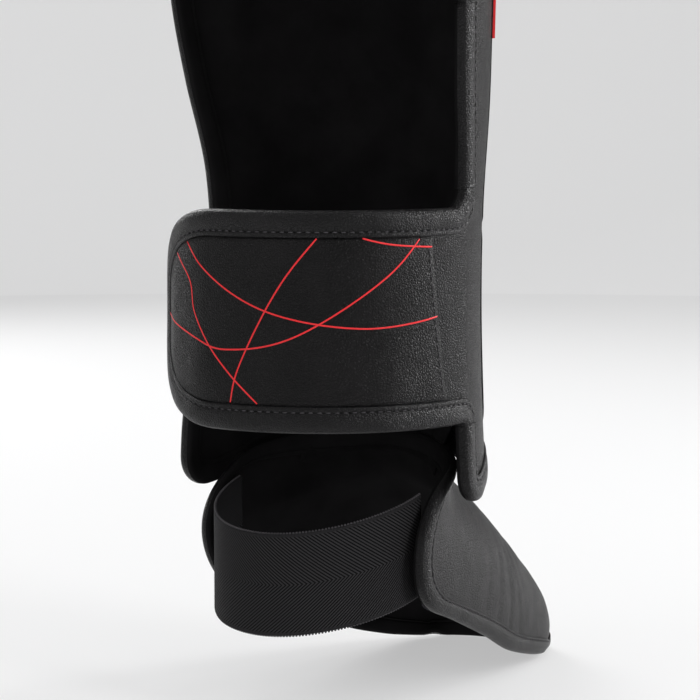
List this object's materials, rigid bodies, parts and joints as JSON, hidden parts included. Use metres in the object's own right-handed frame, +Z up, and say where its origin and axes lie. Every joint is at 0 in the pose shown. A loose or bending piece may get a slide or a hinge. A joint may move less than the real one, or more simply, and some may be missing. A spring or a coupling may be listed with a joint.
{
  "type": "shin and instep guard",
  "caption": "Padded martial-arts guard for a left shin and instep, with an open back, hook-and-loop calf straps and an elastic heel band.",
  "frame": {"origin": "on the leg's axis, just below the toe end's lowest edge", "axes": "+Z up the leg, -Y towards the wearer's toes, +X towards the side on which the straps close"},
  "size_m": [0.1878, 0.2861, 0.504],
  "materials": {
    "black_leather": "grained black synthetic leather, satin",
    "binding_leather": "smooth black folded edge tape, satin",
    "black_lining": "flat black brushed lining",
    "dense_foam": "dense closed-cell foam",
    "soft_foam": "soft open-cell foam",
    "printed_leather": "grained black synthetic leather with thin red printed curves",
    "black_elastic": "black herringbone elastic webbing",
    "hook_tape": "hook tape",
    "loop_pile": "loop pile",
    "red_rubber": "moulded red badge bar, plain"
  },
  "bodies": {
    "shin": {"shin_lining": "black_lining", "shin_comfort_foam": "soft_foam", "shin_impact_foam": "dense_foam", "shin_cover": "black_leather", "shin_edge_binding": "binding_leather", "shin_edge_binding_middle": "binding_leather", "shin_front_pad": "black_leather", "badge_bar_right": "red_rubber", "badge_bar_left": "red_rubber", "ankle_gusset": "black_lining", "lower_strap_root": "black_leather", "lower_closing_tab": "black_leather", "lower_loop_pile": "loop_pile", "upper_strap_root": "black_leather", "upper_closing_tab": "black_leather", "upper_loop_pile": "loop_pile"},
    "lower_strap": {"lower_strap_lining": "black_lining", "lower_strap_foam": "soft_foam", "lower_strap_cover": "black_leather", "lower_strap_binding": "binding_leather", "lower_print_panel": "printed_leather", "lower_hook_tape": "hook_tape"},
    "upper_strap": {"upper_strap_lining": "black_lining", "upper_strap_foam": "soft_foam", "upper_strap_cover": "black_leather", "upper_strap_binding": "binding_leather", "upper_print_panel": "printed_leather", "upper_hook_tape": "hook_tape"},
    "instep": {"instep_lining": "black_lining", "instep_foam": "dense_foam", "instep_cover": "black_leather", "instep_edge_binding": "binding_leather"},
    "heel_band": {"heel_band": "black_elastic"}
  },
  "joints": [
    {"name": "lower_strap_open", "type": "hinge", "parent": "shin", "child": "lower_strap", "pos_m": [-0.07886, 0.00143, 0.198], "axis": [0, 0, 1], "range_deg": [0, 95]},
    {"name": "upper_strap_open", "type": "hinge", "parent": "shin", "child": "upper_strap", "pos_m": [-0.09208, 0.02317, 0.4035], "axis": [0, 0, 1], "range_deg": [0, 95]},
    {"name": "ankle_flex", "type": "hinge", "parent": "shin", "child": "instep", "pos_m": [0, -0.0612, 0.1305], "axis": [1, 0, 0], "range_deg": [-5, 22]},
    {"name": "heel_band_swing", "type": "hinge", "parent": "instep", "child": "heel_band", "pos_m": [0, -0.00267, 0.08388], "axis": [1, 0, 0], "range_deg": [-25, 10]}
  ]
}
